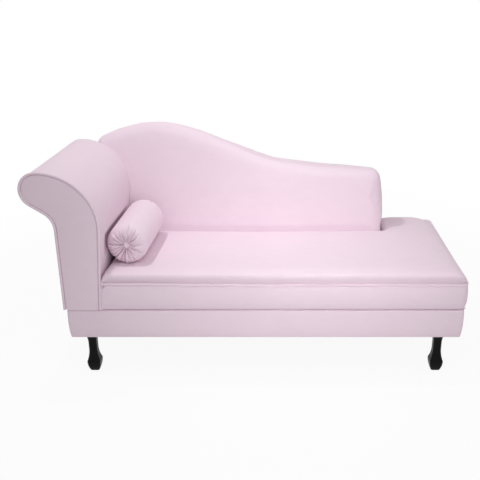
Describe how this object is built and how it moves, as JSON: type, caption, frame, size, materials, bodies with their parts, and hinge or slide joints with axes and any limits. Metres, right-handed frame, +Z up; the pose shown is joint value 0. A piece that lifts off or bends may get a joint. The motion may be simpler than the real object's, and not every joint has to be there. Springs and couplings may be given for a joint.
{
  "type": "recamier",
  "caption": "Upholstered one-armed lounge seat with a scroll arm, a wave-topped back, a crowned seat, vase-shaped legs and a loose bolster with gathered ends.",
  "frame": {"origin": "on the floor, under the middle of the overall box", "axes": "+X along the seat from the arm to the open foot end, +Y from the front to the back, +Z up"},
  "size_m": [1.6, 0.7, 0.852],
  "materials": {
    "suede": "matte",
    "black_wood": "satin",
    "frame_wood": "matte",
    "hardboard": "matte",
    "steel": "satin",
    "foam": "matte",
    "wadding": "matte",
    "webbing": "matte",
    "dark_cloth": "matte",
    "twine": "matte"
  },
  "bodies": {
    "frame": {"arm_board": "hardboard", "arm_cover": "suede", "arm_foam": "foam", "arm_front_facing": "suede", "arm_front_former": "frame_wood", "arm_piping": "suede", "arm_rear_facing": "suede", "arm_rear_former": "frame_wood", "arm_screws": "steel", "arm_slats": "frame_wood", "back_board": "hardboard", "back_bolts": "steel", "back_cover": "suede", "back_foam": "foam", "back_outside_cover": "suede", "back_rib": "frame_wood", "back_stretchers": "frame_wood", "back_uprights": "frame_wood", "back_webbing": "webbing", "base_back_rail": "frame_wood", "base_band": "suede", "base_bearers": "frame_wood", "base_front_rail": "frame_wood", "base_left_rail": "frame_wood", "base_right_rail": "frame_wood", "base_wadding": "wadding", "dust_cover": "dark_cloth", "frame_screws": "steel", "leg_back_left": "black_wood", "leg_back_right": "black_wood", "leg_blocks": "frame_wood", "leg_bolts": "steel", "leg_front_left": "black_wood", "leg_front_right": "black_wood", "leg_tee_nuts": "steel", "seat_border": "suede", "seat_deck_cloth": "dark_cloth", "seat_foam": "foam", "seat_piping": "suede", "seat_top_cover": "suede", "seat_webbing_cross": "webbing", "seat_webbing_long": "webbing"},
    "bolster": {"bolster_button_back": "suede", "bolster_button_front": "suede", "bolster_core": "wadding", "bolster_cover": "suede", "bolster_twine": "twine"}
  },
  "joints": [
    {"name": "bolster_lift", "type": "slide", "parent": "frame", "child": "bolster", "axis": [0.1736, 0, 0.9848], "range_m": [0, 0.5]}
  ]
}
